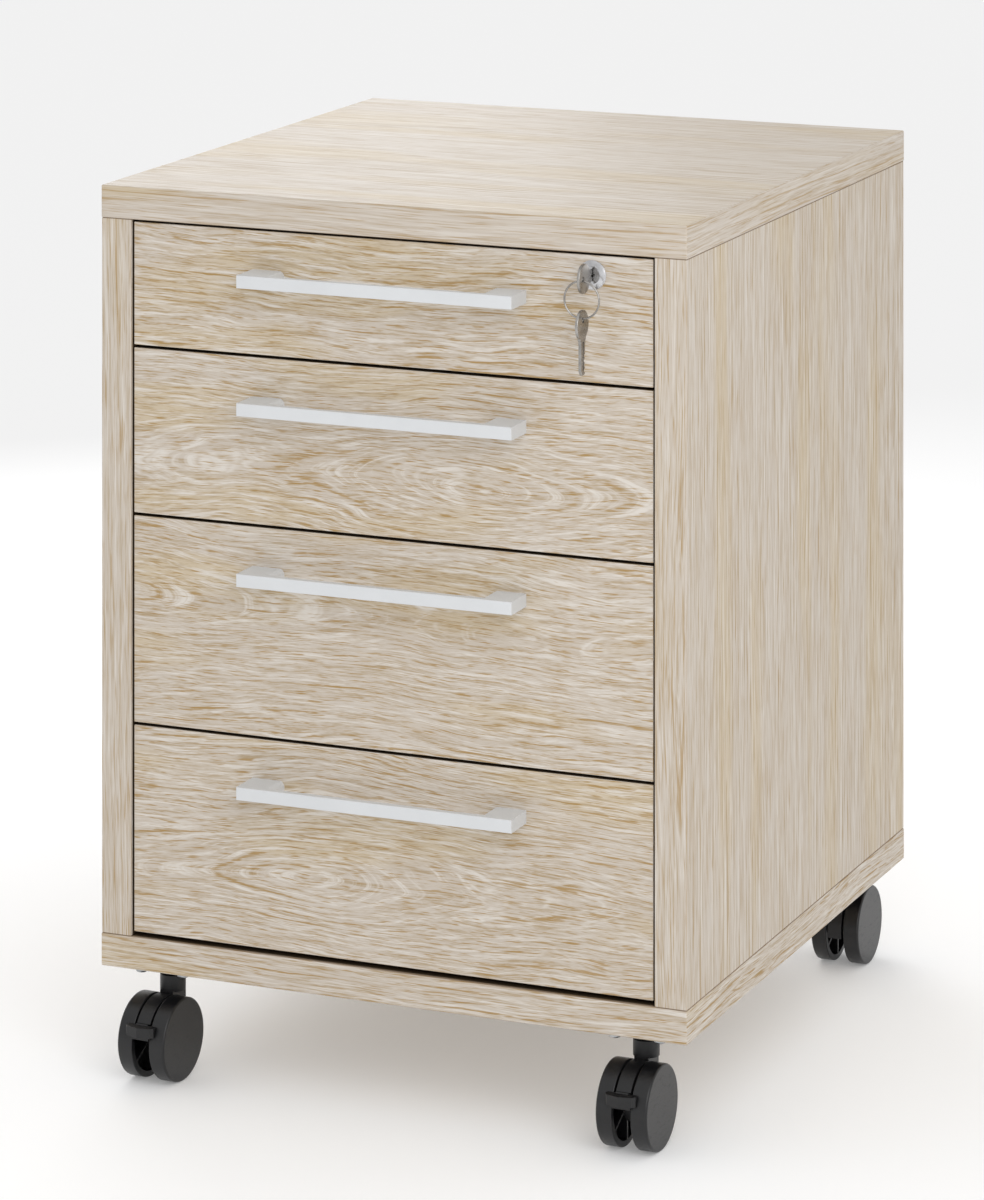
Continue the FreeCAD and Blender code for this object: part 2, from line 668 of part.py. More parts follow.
def spare_key():
    """Second key, hanging from the ring by its bow, blade down."""
    shape = key_solid()
    shape.rotate(V(0, 0, 0), V(1, 0, 0), -90)
    shape.translate(ring_bottom() + V(0, 0, -RING_SLACK - KEY_HOLE_OFFSET))
    return shape


# ---------------------------------------------------------------- locking bar
def locking_bar():
    """Flat bar on the right-hand side panel, with a yoke arm behind the lock and a lug per drawer."""
    x1 = X_INNER - BAR_GAP
    x0 = x1 - BAR_THICK
    y0 = Y_FRONT + BAR_FROM_FRONT
    strip = block(x0, x1, y0, y0 + BAR_WIDTH, Z_SIDE + BAR_FOOT, Z_LOCK + ARM_HALF_HEIGHT)
    y1 = Y_FRONT + ARM_FROM_FRONT
    low = Z_LOCK - ARM_HALF_HEIGHT
    high = Z_LOCK + ARM_HALF_HEIGHT
    arm = block(LOCK_X - ARM_PAST_LOCK, x1, y1, y1 + ARM_THICK, low, high)
    slot_left = LOCK_X - YOKE_LEFT
    slot_right = LOCK_X + YOKE_RIGHT
    slot_low = Z_LOCK - YOKE_HALF_HEIGHT
    slot_high = Z_LOCK + YOKE_HALF_HEIGHT
    slot = block(slot_left, slot_right, y1 - 1, y1 + ARM_THICK + 1, slot_low, slot_high)
    lugs = []
    for index in DRAWERS:
        z = box_floor(index) + RIDE_HEIGHT + SHEET + CATCH_HEIGHT + LUG_CLEAR
        y = Y_FRONT + LUG_FROM_FRONT
        lugs.append(block(x0 - LUG_REACH, x0, y, y + LUG_DEPTH, z, z + LUG_HEIGHT))
    return strip.fuse([arm] + lugs).removeSplitter().cut(slot)


def bar_guides():
    guides = []
    y0 = Y_FRONT + BAR_FROM_FRONT - BAR_GAP
    y1 = y0 + BAR_WIDTH + 2 * BAR_GAP
    x0 = X_INNER - BAR_THICK - 2 * BAR_GAP
    for height in GUIDE_HEIGHTS:
        z = Z_SIDE + height
        outer = block(x0 - GUIDE_WALL, X_INNER, y0 - GUIDE_WALL, y1 + GUIDE_WALL, z, z + GUIDE_HEIGHT)
        guides.append(outer.cut(block(x0, X_INNER, y0, y1, z, z + GUIDE_HEIGHT)))
    return guides


# ---------------------------------------------------------------- casters, in the caster's own frame
# Swivel axis at x = y = 0, wheels trailing towards -Y, floor at z = 0.
def axle_point(x, radius=0.0, degrees=0.0):
    """Point round the axle; degrees rise from the trailing side over the top."""
    angle = math.radians(degrees)
    return V(x, -TRAIL - radius * math.cos(angle), WHEEL_RADIUS + radius * math.sin(angle))


def sector(radius, half, low, high):
    """Sector of a disc round the axle between two angles less than 180 degrees apart."""
    middle = (low + high) / 2
    corners = [axle_point(0), axle_point(0, BIG, low), axle_point(0, BIG, middle), axle_point(0, BIG, high)]
    wedge = prism_x([(p.y, p.z) for p in corners], half)
    return wedge.common(rod(radius, axle_point(-half), axle_point(half)))


def hood(end_degrees):
    """Middle body: arc over the axle, boss, and the column under the neck, with the steel axle."""
    over = 180.0 - HOOD_NECK_SIDE
    middle = (end_degrees + over) / 2
    arc = sector(HOOD_RADIUS, HOOD_HALF, end_degrees, middle)
    arc = arc.fuse(sector(HOOD_RADIUS, HOOD_HALF, middle, over))
    boss = rod(HOOD_BOSS, axle_point(-HOOD_HALF), axle_point(HOOD_HALF))
    column = block(-HOOD_HALF, HOOD_HALF, -NECK_RADIUS, NECK_RADIUS, COLUMN_FOOT, NECK_FOOT + 1)
    neck = rod(NECK_RADIUS, V(0, 0, NECK_FOOT), V(0, 0, NECK_TOP))
    neck = neck.makeFillet(NECK_ROUND, [e for e in circles(neck, NECK_RADIUS) if e.Curve.Center.z > NECK_FOOT + 1])
    shape = arc.fuse([boss, column, neck]).removeSplitter()
    cup = rod(NECK_CUP_RADIUS, V(0, 0, NECK_TOP - NECK_CUP_DEPTH), V(0, 0, NECK_TOP + 1))
    bore = rod(KINGPIN_RADIUS + KINGPIN_CLEARANCE, V(0, 0, KINGPIN_FOOT - KINGPIN_END_GAP), V(0, 0, NECK_TOP))
    axle = rod(AXLE_RADIUS, axle_point(-AXLE_HALF), axle_point(AXLE_HALF))
    return [shape.cut([cup, bore, axle]), axle]


def wheel_right():
    """Wheel with a closed outer face, hollow and ribbed inside, on a blind bore."""
    disc = rod(WHEEL_RADIUS, axle_point(WHEEL_INNER), axle_point(WHEEL_OUTER))
    outer = [e for e in circles(disc, WHEEL_RADIUS) if e.Curve.Center.x > WHEEL_OUTER - 1]
    disc = disc.makeFillet(WHEEL_ROUND, outer)
    inner = [e for e in circles(disc, WHEEL_RADIUS) if e.Curve.Center.x < WHEEL_INNER + 1e-3]
    disc = disc.makeFillet(WHEEL_INNER_ROUND, inner)
    floor = WHEEL_INNER + WHEEL_HOLLOW
    hollow = rod(WHEEL_RIM, axle_point(WHEEL_INNER - 1), axle_point(floor))
    hollow = hollow.cut(rod(WHEEL_HUB, axle_point(WHEEL_INNER - 1), axle_point(floor)))
    for number in range(WHEEL_RIBS):
        rib = block(0, floor, -WHEEL_RIB_THICK / 2, WHEEL_RIB_THICK / 2, WHEEL_HUB - 1, WHEEL_RIM + 1)
        rib.rotate(V(0, 0, 0), V(1, 0, 0), number * 360.0 / WHEEL_RIBS)
        rib.translate(axle_point(0))
        hollow = hollow.cut(rib)
    bore = rod(AXLE_RADIUS + AXLE_CLEARANCE, axle_point(0), axle_point(AXLE_HALF + AXLE_END_GAP))
    return disc.cut([hollow, bore])


def brake_pedal():
    """Lever that hooks round the boss of the hood, with a faceted tab over the wheels."""
    start = -TRAIL - WHEEL_RADIUS / 2
    outline = [(-PEDAL_HALF, start), (-PEDAL_HALF, -PEDAL_SIDE), (-PEDAL_SHOULDER_HALF, -PEDAL_SHOULDER)]
    outline += [(0, -PEDAL_TIP)] + [(-x, y) for x, y in reversed(outline)]
    tab = prism_z(outline, PEDAL_FOOT, PEDAL_TOP)
    step = block(-PEDAL_STEP_HALF, PEDAL_STEP_HALF, -PEDAL_STEP_TIP, start, PEDAL_STEP_FOOT, PEDAL_FOOT)
    clear = WHEEL_RADIUS + PEDAL_WHEEL_GAP
    tab = tab.fuse(step).cut(rod(clear, axle_point(-BIG), axle_point(BIG)))
    arm = sector(clear + 1, PEDAL_ARM_HALF, PEDAL_ARM_LOW, PEDAL_ARM_HIGH)
    hook_radius = HOOD_BOSS + PEDAL_BOSS_GAP
    hook = sector(hook_radius + PEDAL_HOOK_WALL, PEDAL_ARM_HALF, PEDAL_HOOK_LOW, PEDAL_ARM_HIGH)
    lever = arm.fuse(hook).cut(rod(hook_radius, axle_point(-BIG), axle_point(BIG)))
    return tab.fuse(lever).removeSplitter()


# Swivel axis (x, y) signs, resting turn about +Z, and whether the caster has a brake.
CASTERS = {
    "front_left": (-1, -1, -3.5, True),
    "front_right": (1, -1, -1.0, True),
    "rear_left": (-1, 1, 180.0, False),
    "rear_right": (1, 1, 180.0, False),
}


def caster_axis(name):
    side, end, turn, braked = CASTERS[name]
    return V(side * (WIDTH / 2 - CASTER_SIDE), CARCASS_Y + end * (DEPTH / 2 - CASTER_END), 0)


def placed(shape, name):
    """Shape from the caster's own frame, at the caster's place and resting turn."""
    copy = shape.copy()
    copy.rotate(V(0, 0, 0), V(0, 0, 1), CASTERS[name][2])
    copy.translate(caster_axis(name))
    return copy


def plate_hole_places(name):
    axis = caster_axis(name)
    top = CASTER_HEIGHT - PLATE_THICK
    return [axis + V(x, y, top) for x in (-PLATE_SCREWS, PLATE_SCREWS) for y in (-PLATE_SCREWS, PLATE_SCREWS)]


def plate_screws(name):
    length = PLATE_THICK + PLATE_SCREW_IN_BOARD
    return [pan_screw(seat, V(0, 0, 1), PLATE_SCREW_RADIUS, length) for seat in plate_hole_places(name)]


def caster_plate(name):
    """Steel plate with the kingpin riveted into it."""
    half = PLATE_SIDE / 2
    plate = block(-half, half, -half, half, CASTER_HEIGHT - PLATE_THICK, CASTER_HEIGHT)
    upright = [e for e in plate.Edges if e.BoundBox.ZLength > PLATE_THICK - 1e-3]
    plate = plate.makeFillet(PLATE_CORNER, upright)
    boss = rod(KINGPIN_BOSS, V(0, 0, KINGPIN_BOSS_FOOT), V(0, 0, CASTER_HEIGHT))
    pin = rod(KINGPIN_RADIUS, V(0, 0, KINGPIN_FOOT), V(0, 0, CASTER_HEIGHT))
    shape = plate.fuse([boss, pin]).removeSplitter()
    shape.translate(caster_axis(name))
    return shape.cut(plate_screws(name))


# ---------------------------------------------------------------- all nodes
def carcass_nodes():
    right = side_panel_right()
    cams = cam_slot(Part.makeCompound(cams_right()).cut(cam_bores_right()))
    bolts = [b for bolt in cam_bolts_right() for b in both_sides(bolt)]
    dowels = [d for dowel in dowels_right() for d in both_sides(dowel)]
    channels = [c for index in DRAWERS for c in both_sides(channel_right(index))]
    screws = [s for screw in channel_screws_right() for s in both_sides(screw)]
    for name in CASTERS:
        screws += plate_screws(name)
    return {
        "top_panel": horizontal_panel(Z_SIDE_TOP),
        "bottom_panel": bottom_panel(),
        "side_panel_right": right,
        "side_panel_left": mirrored(right),
        "back_panel": back_panel(),
        "cam_housings": [c for cam in cams.Solids for c in both_sides(cam)],
        "cam_bolts": bolts,
        "dowels": dowels,
        "cabinet_runners": channels,
        "carcass_screws": screws,
        "bar_guides": bar_guides(),
        "caster_plates": [caster_plate(name) for name in CASTERS],
    }


def drawer_nodes(index):
    name = "drawer_%d_" % (index + 1)
    screws = handle_screws(index)
    for screw in carrier_screws_right(index):
        screws += both_sides(screw)
    carriers = [carrier_right(index, True), mirrored(carrier_right(index, False))]
    return {
        name + "front": drawer_front(index),
        name + "box": drawer_box(index),
        name + "runners": carriers,
        name + "handle": handle(index),
        name + "screws": screws,
        name + "rollers": both_sides(roller(drawer_roller_x(), drawer_roller_axis(index))),
        "cabinet_rollers_%d" % (index + 1): both_sides(roller(cabinet_roller_x(), cabinet_roller_axis(index))),
    }


def lock_nodes():
    return {
        "lock_housing": lock_housing(),
        "lock_plug": lock_plug(),
        "key": key(),
        "key_ring": key_ring(),
        "spare_key": spare_key(),
        "locking_bar": locking_bar(),
    }


def caster_nodes():
    nodes = {}
    wheel = wheel_right()
    for name in CASTERS:
        braked = CASTERS[name][3]
        pieces = hood(HOOD_END_BRAKED if braked else HOOD_END_PLAIN)
        nodes["caster_%s_hood" % name] = [placed(piece, name) for piece in pieces]
        nodes["caster_%s_wheel_right" % name] = placed(wheel, name)
        nodes["caster_%s_wheel_left" % name] = placed(mirrored(wheel), name)
        if braked:
            nodes["caster_%s_pedal" % name] = placed(brake_pedal(), name)
    return nodes


def export(nodes):
    os.makedirs("parts", exist_ok=True)
    for name, shape in nodes.items():
        solids = shape if isinstance(shape, list) else [shape]
        whole = solids[0] if len(solids) == 1 else Part.makeCompound(solids)
        if not whole.isValid():
            print("not valid:", name)
        whole.exportStep(os.path.join("parts", name + ".step"))


def main():
    nodes = carcass_nodes()
    for index in DRAWERS:
        nodes.update(drawer_nodes(index))
    nodes.update(lock_nodes())
    nodes.update(caster_nodes())
    export(nodes)
    print(len(nodes), "nodes")


main()
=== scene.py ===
"""Looks of the rolling pedestal cabinet: materials, floor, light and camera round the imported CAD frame.

Everything is in metres in the row frame: X to the right, -Y out of the drawer fronts, Z up, floor at Z = 0.
"""

import math

import bpy
from mathutils import Matrix, Vector

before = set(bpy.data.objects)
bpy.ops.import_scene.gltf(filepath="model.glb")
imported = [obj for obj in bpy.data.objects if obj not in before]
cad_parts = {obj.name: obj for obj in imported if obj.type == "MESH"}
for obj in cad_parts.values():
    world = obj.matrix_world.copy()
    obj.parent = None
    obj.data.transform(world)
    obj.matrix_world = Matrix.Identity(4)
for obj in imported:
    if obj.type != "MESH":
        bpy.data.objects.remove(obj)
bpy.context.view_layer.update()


# ---------------------------------------------------------------------------------------------
# Node graphs
# ---------------------------------------------------------------------------------------------


class Graph:
    """The node tree of one material, with a short call for each kind of node."""

    def __init__(self, name, **shader):
        """A principled material whose plain sockets are set to the values in shader."""
        self.material = bpy.data.materials.new(name)
        self.material.use_nodes = True
        self.tree = self.material.node_tree
        self.tree.nodes.clear()
        self.shader = self.tree.nodes.new("ShaderNodeBsdfPrincipled")
        output = self.tree.nodes.new("ShaderNodeOutputMaterial")
        self.tree.links.new(self.shader.outputs["BSDF"], output.inputs["Surface"])
        for socket, value in shader.items():
            self.shader.inputs[socket.replace("_", " ")].default_value = value

    def put(self, value, socket):
        """Links a socket to a node's output, or sets it to a number, vector or colour."""
        if isinstance(value, bpy.types.NodeSocket):
            self.tree.links.new(value, socket)
        else:
            socket.default_value = value

    def drive(self, socket, value):
        """Gives one of the shader's sockets a pattern."""
        self.put(value, self.shader.inputs[socket])

    def math(self, operation, a, b=0.0):
        node = self.tree.nodes.new("ShaderNodeMath")
        node.operation = operation
        self.put(a, node.inputs[0])
        self.put(b, node.inputs[1])
        return node.outputs[0]

    def vector(self, operation, a, b):
        node = self.tree.nodes.new("ShaderNodeVectorMath")
        node.operation = operation
        self.put(a, node.inputs[0])
        self.put(b, node.inputs[1])
        return node.outputs["Vector"]

    def join(self, x, y, z):
        node = self.tree.nodes.new("ShaderNodeCombineXYZ")
        for value, socket in zip((x, y, z), node.inputs):
            self.put(value, socket)
        return node.outputs[0]

    def split(self, vector):
        node = self.tree.nodes.new("ShaderNodeSeparateXYZ")
        self.put(vector, node.inputs[0])
        return node.outputs[0], node.outputs[1], node.outputs[2]

    def ramp(self, value, low, high, to_low=0.0, to_high=1.0):
        """A smooth step of value from low to high, clamped at both ends."""
        node = self.tree.nodes.new("ShaderNodeMapRange")
        node.interpolation_type = "SMOOTHSTEP"
        for socket, number in zip(node.inputs[:5], (value, low, high, to_low, to_high)):
            self.put(number, socket)
        return node.outputs[0]

    def mix(self, factor, a, b):
        """A blend of two colours."""
        node = self.tree.nodes.new("ShaderNodeMix")
        node.data_type = "RGBA"
        self.put(factor, node.inputs[0])
        self.put(a, node.inputs[6])
        self.put(b, node.inputs[7])
        return node.outputs[2]

    def choose(self, factor, a, b):
        """A blend of two vectors."""
        node = self.tree.nodes.new("ShaderNodeMix")
        node.data_type = "VECTOR"
        self.put(factor, node.inputs[0])
        self.put(a, node.inputs[4])
        self.put(b, node.inputs[5])
        return node.outputs[1]

    def noise(self, coords, frequencies, detail=2.0, roughness=0.5):
        """Noise with its own frequency, in cycles per metre, along each of the three axes."""
        node = self.tree.nodes.new("ShaderNodeTexNoise")
        self.put(self.vector("MULTIPLY", coords, frequencies), node.inputs["Vector"])
        self.put(1.0, node.inputs["Scale"])
        self.put(detail, node.inputs["Detail"])
        self.put(roughness, node.inputs["Roughness"])
        return node.outputs[0]

    def speckle(self, frequency, detail=2.0, roughness=0.5):
        """Noise that is equally fine in every direction."""
        return self.noise(self.place(), (frequency,) * 3, detail, roughness)

    def bump(self, height, distance, strength):
        """Turns a height pattern into the shader's normal."""
        node = self.tree.nodes.new("ShaderNodeBump")
        node.inputs["Distance"].default_value = distance
        node.inputs["Strength"].default_value = strength
        self.put(height, node.inputs["Height"])
        return node.outputs[0]

    def place(self):
        """The point on the piece, in its own coordinates, which ride with it."""
        return self.tree.nodes.new("ShaderNodeTexCoord").outputs["Object"]

    def facing(self):
        """The direction that the face looks in, in the piece's own coordinates."""
        return self.tree.nodes.new("ShaderNodeTexCoord").outputs["Normal"]


def srgb(red, green, blue):
    """A colour given as it looks on screen, 0 to 255, as the linear colour that shaders use."""

    def linear(value):
        value /= 255
        return value / 12.92 if value <= 0.04045 else ((value + 0.055) / 1.055) ** 2.4

    return (linear(red), linear(green), linear(blue), 1.0)


# ---------------------------------------------------------------------------------------------
# Oak laminate
# ---------------------------------------------------------------------------------------------

OAK_PALE = srgb(194, 184, 172)
OAK_CREAM = srgb(194, 179, 155)
OAK_BEIGE = srgb(167, 147, 117)
OAK_WHITE = srgb(213, 207, 199)
OAK_OCHRE = srgb(158, 124, 62)
OAK_BROWN = srgb(118, 90, 58)

# How fine each pattern of the print is, in cycles per metre along the grain and across it.
DRIFT = (4.0, 9.0)
RIPPLE = (14.0, 45.0)
RING_WOBBLE = (9.0, 26.0)
PORE_VIGOUR = (9.0, 90.0)
LIME_VIGOUR = (7.0, 90.0)
CLOUDS = (5.0, 22.0)
STRANDS = (30.0, 640.0)
STREAKS = (22.0, 560.0)
DASHES = (52.0, 1000.0)

RING_SPACING = 0.006
RING_WOBBLE_HEIGHT = 0.016
RIPPLE_SHARE = 0.22         # of the slow wander
VIGOUR_LOW = 0.42           # below this the rings' lines fade out
VIGOUR_HIGH = 0.66          # above this they are full
EMBOSS_DEPTH = 0.00012
EMBOSS_STRENGTH = 0.35
DEPTH_SCALE = 3.0           # how fast the print changes with depth
FACING = 0.7                # a face looks along an axis when its normal's share of it is larger


def wood_coordinates(g, along):
    """Coordinates (along the grain, across it, depth) on each face of a panel.

    along names the grain axis of the faces that look along X, Y and Z in turn. The depth is the
    place along the face's own axis, so the print changes slowly from one layer to the next.
    """
    x, y, z = g.split(g.place())
    axes = {"X": x, "Y": y, "Z": z}
    nx, ny, _ = g.split(g.facing())
    layouts = []
    for normal, grain in zip("XYZ", along):
        across = next(a for a in "XYZ" if a not in (normal, grain))
        layouts.append(g.join(axes[grain], axes[across], g.math("MULTIPLY", axes[normal], DEPTH_SCALE)))
    on_x = g.math("GREATER_THAN", g.math("ABSOLUTE", nx), FACING)
    on_y = g.math("GREATER_THAN", g.math("ABSOLUTE", ny), FACING)
    return g.choose(on_y, g.choose(on_x, layouts[2], layouts[0]), layouts[1])


# The drawer fronts' outer face, and the opening that they and their gaps fill.
FRONT_FACE = -0.21295
OPENING_HALF_WIDTH = 0.1877
OPENING_MIDDLE = 0.336
OPENING_HALF_HEIGHT = 0.240

# The painted shade in the gaps: how deep it reaches, its colour, and which faces count as narrow.
GAP_DEPTH = 0.015
PAINTED_GAP_SHADE = srgb(76, 62, 46)
NARROW_FACE = 0.5
# The painted shadow line along the seams where the top and bottom panels meet the sides.
SEAM_HALF_WIDTH = 0.0006
SEAM_CORE = 0.0001
SEAM_SHADOW_STRENGTH = 0.65


def paint_gap_shade(g, colour):
    """Paints shade inside the gaps round the fronts and a shadow line along the carcass seams.

    A face counts as narrow when it looks sideways, up or down. Each limit is a place, the value
    at which its painted shade is nil and the value at which it is full.
    """
    x, y, z = g.split(g.place())
    from_middle = g.math("ABSOLUTE", g.math("SUBTRACT", z, OPENING_MIDDLE))
    # Painted shade: narrow faces inside the opening, from just behind the front face back to GAP_DEPTH.
    painted_shade_mask = g.math("LESS_THAN", g.math("ABSOLUTE", g.split(g.facing())[1]), NARROW_FACE)
    limits = (
        (y, FRONT_FACE + 0.0004, FRONT_FACE + 0.0014),
        (y, FRONT_FACE + GAP_DEPTH + 0.002, FRONT_FACE + GAP_DEPTH),
        (g.math("ABSOLUTE", x), OPENING_HALF_WIDTH + 0.0004, OPENING_HALF_WIDTH + 0.0002),
        (from_middle, OPENING_HALF_HEIGHT + 0.0004, OPENING_HALF_HEIGHT + 0.0002),
    )
    for value, nil, full in limits:
        painted_shade_mask = g.math("MULTIPLY", painted_shade_mask, g.ramp(value, nil, full))
    # Painted shadow line: brown within a fraction of a millimetre of each seam of the carcass.
    from_seam = g.math("ABSOLUTE", g.math("SUBTRACT", from_middle, OPENING_HALF_HEIGHT))
    seam = g.math("MULTIPLY", g.ramp(from_seam, SEAM_HALF_WIDTH, SEAM_CORE), SEAM_SHADOW_STRENGTH)
    return g.mix(painted_shade_mask, g.mix(seam, colour, OAK_BROWN), PAINTED_GAP_SHADE)


def grain_noise(g, coords, frequencies, pull, detail=2.0, roughness=0.5):
    """Noise in wood coordinates. A pull below 1 draws it out along the grain."""
    along, across = frequencies
    return g.noise(coords, (along * pull, across, 1.0), detail, roughness)


def bent_grain(g, coords, wander, pull):
    """The place across the grain, which wanders slowly over the board and ripples in it."""
    drift = grain_noise(g, coords, DRIFT, pull, detail=1.0)
    ripple = grain_noise(g, coords, RIPPLE, pull)
    bend = g.math("MULTIPLY", g.math("SUBTRACT", drift, 0.5), wander)
    small_bend = g.math("MULTIPLY", g.math("SUBTRACT", ripple, 0.5), wander * RIPPLE_SHARE)
    return g.math("ADD", g.split(coords)[1], g.math("ADD", bend, small_bend))


def ring_radius(g, coords, fibre, heart, tilt, reach, straight, pull):
    """How far out from the heart a point lies, with a slow wobble. It levels off past reach."""
    share = g.math("DIVIDE", g.math("SUBTRACT", g.split(coords)[0], heart[0]), reach)
    from_u = g.math("MULTIPLY", g.math("TANH", share), tilt * reach)
    from_v = g.math("SUBTRACT", fibre, heart[1])
    squares = g.math("ADD", g.math("MULTIPLY", from_u, from_u), g.math("MULTIPLY", from_v, from_v))
    wobble = grain_noise(g, coords, RING_WOBBLE, pull)
    height = RING_WOBBLE_HEIGHT * (1.0 - 0.6 * straight)
    return g.math("ADD", g.math("SQRT", squares), g.math("MULTIPLY", wobble, height))


def ring_lines(g, contour, rings, pull):
    """The porous line in the middle of each ring and the limed one where two rings meet.

    Both come and go, each with its own vigour.
    """
    off_middle = g.math("ABSOLUTE", g.math("SUBTRACT", g.math("FRACT", rings), 0.5))
    elsewhere = g.vector("ADD", contour, (5.0, 2.0, 0.0))
    pore_vigour = grain_noise(g, contour, PORE_VIGOUR, pull, detail=1.0)
    lime_vigour = grain_noise(g, elsewhere, LIME_VIGOUR, pull, detail=1.0)
    pore_vigour = g.ramp(pore_vigour, VIGOUR_LOW, VIGOUR_HIGH)
    lime_vigour = g.ramp(lime_vigour, VIGOUR_LOW, VIGOUR_HIGH)
    porous = g.math("MULTIPLY", g.ramp(off_middle, 0.2, 0.0), pore_vigour)
    limed = g.math("MULTIPLY", g.ramp(off_middle, 0.22, 0.5), lime_vigour)
    return porous, limed


def lay(g, colour, ink, cover, strength):
    """Prints an ink over a colour, as far as the pattern cover reaches."""
    return g.mix(g.math("MULTIPLY", cover, strength), colour, ink)


def oak(name, along, heart, tilt, seed, wander=0.03, straight=0.0, tone=0.5, bold=1.0, reach=0.1):
    """Whitewashed pale oak print.

    heart is where the growth rings' middle lies (along, across) and tilt how steeply the board
    cuts the rings: together they draw the cathedral arches. Past reach, in metres along the grain
    from the heart, the arches run out into straight grain. seed picks another part of the sheet,
    and wander is how far the grain strays sideways, in metres. straight goes from 0, a flat-sawn
    figure with short pores, to 1, a quartered one with long pores. tone is the share of cream,
    and bold how strongly the fibres and pores stand out.
    """
    g = Graph(name, Roughness=0.5, Specular_IOR_Level=0.3)
    shift = Vector((seed * 3.1, seed * 1.7, seed * 0.37))
    coords = g.vector("ADD", wood_coordinates(g, along), shift)
    pull = 1.0 - 0.75 * straight
    heart = (heart[0] + shift.x, heart[1] + shift.y)

    fibre = bent_grain(g, coords, wander, pull)
    radius = ring_radius(g, coords, fibre, heart, tilt, reach, straight, pull)
    u, _, w = g.split(coords)
    contour = g.join(u, radius, w)
    line = g.join(u, fibre, w)
    porous, limed = ring_lines(g, contour, g.math("DIVIDE", radius, RING_SPACING), pull)

    # Cream and pale clouds, then dark strands, white streaks and ochre pores over them.
    cloud = grain_noise(g, line, CLOUDS, pull)
    colour = g.mix(g.ramp(cloud, 0.72 - tone * 0.4, 0.92 - tone * 0.5), OAK_PALE, OAK_CREAM)
    strands = grain_noise(g, line, STRANDS, pull, detail=3.0, roughness=0.85)
    dark = g.math("ADD", strands, g.math("MULTIPLY", porous, 0.05))
    colour = lay(g, colour, OAK_BEIGE, g.ramp(dark, 0.45, 0.66), 0.9 * bold)
    elsewhere = g.vector("ADD", contour, (7.0, 3.0, 0.0))
    streaks = grain_noise(g, elsewhere, STREAKS, pull, detail=3.0, roughness=0.8)
    bright = g.math("ADD", streaks, g.math("MULTIPLY", limed, 0.085))
    colour = lay(g, colour, OAK_WHITE, g.ramp(bright, 0.46, 0.68), 0.9 * bold)
    dashes = grain_noise(g, line, DASHES, pull, roughness=0.7)
    pores = g.ramp(g.math("ADD", dashes, g.math("MULTIPLY", porous, 0.15)), 0.53, 0.69)
    colour = lay(g, colour, OAK_OCHRE, pores, 0.8 * bold)
    # Painted shade in the gaps round the fronts, and a painted shadow line along the carcass seams.
    g.drive("Base Color", paint_gap_shade(g, colour))

    # The print is embossed: pores are shallow pits that are a little rougher than the film.
    relief = g.math("SUBTRACT", g.math("MULTIPLY", strands, 0.6), pores)
    g.drive("Roughness", g.ramp(g.math("ADD", pores, strands), 0.2, 1.5, 0.46, 0.62))
    g.drive("Normal", g.bump(relief, EMBOSS_DEPTH, EMBOSS_STRENGTH))
    return g.material


# ---------------------------------------------------------------------------------------------
# Other materials
# ---------------------------------------------------------------------------------------------


def satin_silver():
    """Bar handles: fine powder-coated silver."""
    g = Graph("handle_silver", Metallic=0.1, Roughness=0.5)
    grain = g.speckle(2600.0)
    cloud = g.speckle(40.0)
    g.drive("Base Color", g.mix(g.ramp(cloud, 0.3, 0.7), srgb(208, 210, 212), srgb(211, 213, 215)))
    g.drive("Roughness", g.ramp(grain, 0.3, 0.7, 0.48, 0.6))
    g.drive("Normal", g.bump(grain, 0.00005, 0.25))
    return g.material


def scratched_metal(name, colour, dark, rough):
    """Plated or bare metal with fine scratches and a cloudy, slightly uneven gloss."""
    g = Graph(name, Metallic=1.0, Roughness=rough)
    scratches = g.noise(g.place(), (900.0, 60.0, 60.0), detail=3.0, roughness=0.7)
    cloud = g.speckle(90.0, detail=3.0)
    g.drive("Base Color", g.mix(g.ramp(cloud, 0.35, 0.7), colour, dark))
    g.drive("Roughness", g.ramp(scratches, 0.35, 0.7, rough * 0.8, rough * 1.35))
    g.drive("Normal", g.bump(scratches, 0.00003, 0.3))
    return g.material


def black_plastic(name, base, worn, rough):
    """Moulded black plastic with a fine spark-eroded texture and faint scuffs and dust."""
    g = Graph(name, Roughness=rough)
    grain = g.speckle(2200.0)
    scuffs = g.noise(g.place(), (120.0, 120.0, 420.0), detail=4.0, roughness=0.7)
    dust = g.ramp(scuffs, 0.5, 0.75)
    g.drive("Base Color", g.mix(g.math("MULTIPLY", dust, 0.5), base, worn))
    uneven = g.math("ADD", grain, g.math("MULTIPLY", dust, 0.3))
    g.drive("Roughness", g.ramp(uneven, 0.3, 0.9, rough * 0.85, rough * 1.3))
    g.drive("Normal", g.bump(grain, 0.00004, 0.25))
    return g.material


def drawer_board():
    """Drawer sides and bottoms: light grey melamine board with a fine linen emboss."""
    g = Graph("drawer_board", Roughness=0.5)
    weave = g.speckle(900.0)
    cloud = g.speckle(12.0, detail=3.0)
    g.drive("Base Color", g.mix(g.ramp(cloud, 0.3, 0.7), srgb(212, 210, 205), srgb(221, 219, 214)))
    g.drive("Roughness", g.ramp(weave, 0.3, 0.7, 0.45, 0.58))
    g.drive("Normal", g.bump(weave, 0.00006, 0.3))
    return g.material


def beech():
    """Dowels: plain beech with short flecks."""
    g = Graph("beech", Roughness=0.6)
    flecks = g.noise(g.place(), (60.0, 900.0, 900.0))
    g.drive("Base Color", g.mix(g.ramp(flecks, 0.5, 0.7), srgb(214, 180, 140), srgb(176, 134, 94)))
    g.drive("Normal", g.bump(flecks, 0.00005, 0.3))
    return g.material


